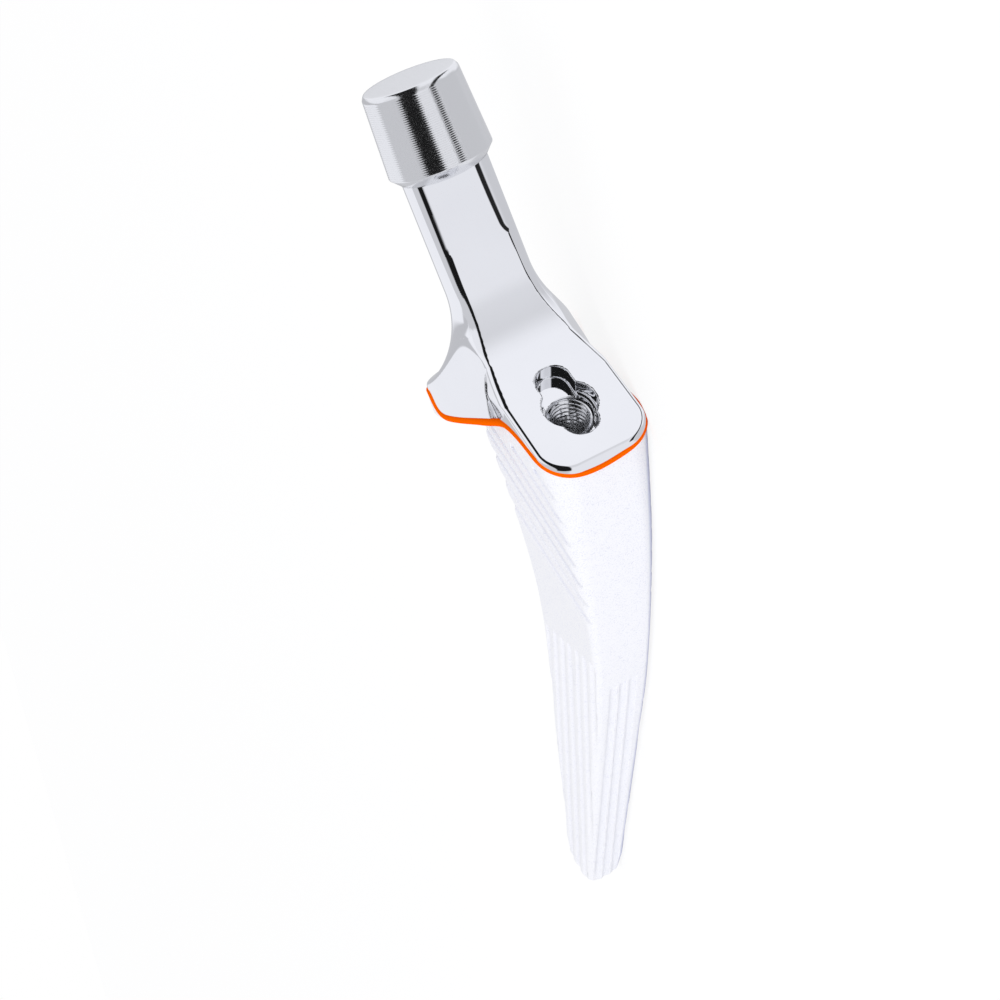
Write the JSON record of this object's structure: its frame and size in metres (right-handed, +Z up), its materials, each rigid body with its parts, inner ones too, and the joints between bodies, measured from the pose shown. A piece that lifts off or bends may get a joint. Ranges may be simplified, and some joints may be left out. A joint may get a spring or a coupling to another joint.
{
  "type": "hip implant stem",
  "caption": "Collared cementless hip stem with a 12/14 taper neck, a polished collar and shoulder and a grooved, coated blade.",
  "frame": {"origin": "bottom centre of the bounding box of the stem as it lies on a table", "axes": "+Z up from the table; +X along the stem from the tip to the shoulder; +Y towards the inner (medial) side, where the neck points between +X and +Y"},
  "size_m": [0.1556, 0.059, 0.0229],
  "materials": {
    "polished_titanium": "mirror-polished titanium alloy on collar, shoulder and neck; finely turned taper",
    "coating": "rough matt white ceramic coating bonded to the blade",
    "margin_line": "orange line along the edge of the coating"
  },
  "bodies": {
    "root": {"stem": "polished_titanium"}
  },
  "joints": []
}
